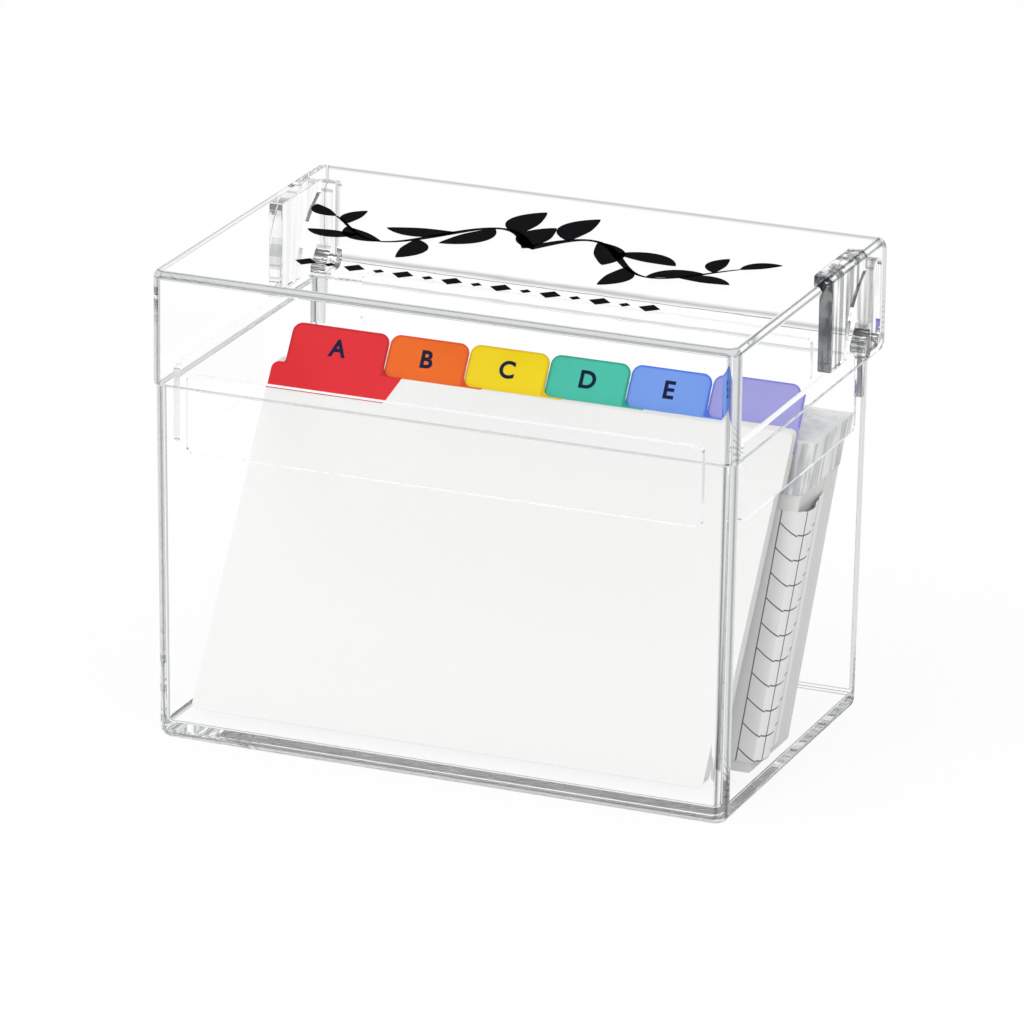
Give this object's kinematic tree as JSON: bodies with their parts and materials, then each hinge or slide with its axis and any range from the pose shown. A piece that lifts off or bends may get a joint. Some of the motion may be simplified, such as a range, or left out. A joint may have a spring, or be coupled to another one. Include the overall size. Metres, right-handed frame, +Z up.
{
  "type": "hinged-lid index card box",
  "caption": "Clear plastic index card box with a deep rear-hinged lid, holding tabbed dividers in rainbow colours that lean back on a bundle of cards.",
  "frame": {"origin": "on the underside of the box, at the middle of the closed box's footprint", "axes": "+X along the front to the viewer's right, +Y from the front to the hinge at the back, +Z up"},
  "size_m": [0.1712, 0.1176, 0.1355],
  "materials": {
    "clear_body": "gloss",
    "clear_lid": "gloss",
    "clear_strip": "gloss",
    "steel_pin": "satin",
    "card_stock": "matte",
    "card_bundle": "matte",
    "label_paper": "matte",
    "film": "gloss",
    "tab_red": "gloss",
    "tab_orange": "gloss",
    "tab_yellow": "gloss",
    "tab_teal": "gloss",
    "tab_blue": "gloss",
    "tab_lilac": "gloss"
  },
  "bodies": {
    "box": {"box_body": "clear_body", "front_locating_strip": "clear_strip", "rear_locating_strip": "clear_strip", "left_locating_strip": "clear_strip", "right_locating_strip": "clear_strip", "left_hinge_ear": "clear_strip", "right_hinge_ear": "clear_strip", "left_hinge_pin": "steel_pin", "right_hinge_pin": "steel_pin", "front_card_bundle": "card_bundle", "rear_card_bundle": "card_bundle", "bundle_wrap": "film", "label_sheet": "label_paper"},
    "lid": {"hinged_lid": "clear_lid"},
    "divider_a": {"divider_a_card": "card_stock", "divider_a_tab_sleeve": "tab_red"},
    "divider_b": {"divider_b_card": "card_stock", "divider_b_tab_sleeve": "tab_orange"},
    "divider_c": {"divider_c_card": "card_stock", "divider_c_tab_sleeve": "tab_yellow"},
    "divider_d": {"divider_d_card": "card_stock", "divider_d_tab_sleeve": "tab_teal"},
    "divider_e": {"divider_e_card": "card_stock", "divider_e_tab_sleeve": "tab_blue"},
    "divider_f": {"divider_f_card": "card_stock", "divider_f_tab_sleeve": "tab_lilac"}
  },
  "joints": [
    {"name": "lid_hinge", "type": "hinge", "parent": "box", "child": "lid", "pos_m": [0, 0.0533, 0.1068], "axis": [-1, 0, 0], "range_deg": [0, 95]},
    {"name": "divider_a_tilt", "type": "hinge", "parent": "box", "child": "divider_a", "pos_m": [0, -0.04234, 0.0046], "axis": [1, 0, 0], "range_deg": [0, 30]},
    {"name": "divider_b_tilt", "type": "hinge", "parent": "box", "child": "divider_b", "pos_m": [0, -0.04144, 0.0046], "axis": [1, 0, 0], "range_deg": [0, 25]},
    {"name": "divider_c_tilt", "type": "hinge", "parent": "box", "child": "divider_c", "pos_m": [0, -0.04054, 0.0046], "axis": [1, 0, 0], "range_deg": [0, 20]},
    {"name": "divider_d_tilt", "type": "hinge", "parent": "box", "child": "divider_d", "pos_m": [0, -0.03964, 0.0046], "axis": [1, 0, 0], "range_deg": [0, 15]},
    {"name": "divider_e_tilt", "type": "hinge", "parent": "box", "child": "divider_e", "pos_m": [0, -0.03874, 0.0046], "axis": [1, 0, 0], "range_deg": [0, 10]},
    {"name": "divider_f_tilt", "type": "hinge", "parent": "box", "child": "divider_f", "pos_m": [0, -0.03784, 0.0046], "axis": [1, 0, 0], "range_deg": [0, 5]}
  ],
  "couplings": [
    {"joint": "divider_b_tilt", "follows": "divider_a_tilt", "ratio": 0.8333},
    {"joint": "divider_c_tilt", "follows": "divider_a_tilt", "ratio": 0.6666},
    {"joint": "divider_d_tilt", "follows": "divider_a_tilt", "ratio": 0.5},
    {"joint": "divider_e_tilt", "follows": "divider_a_tilt", "ratio": 0.3333},
    {"joint": "divider_f_tilt", "follows": "divider_a_tilt", "ratio": 0.1666}
  ]
}
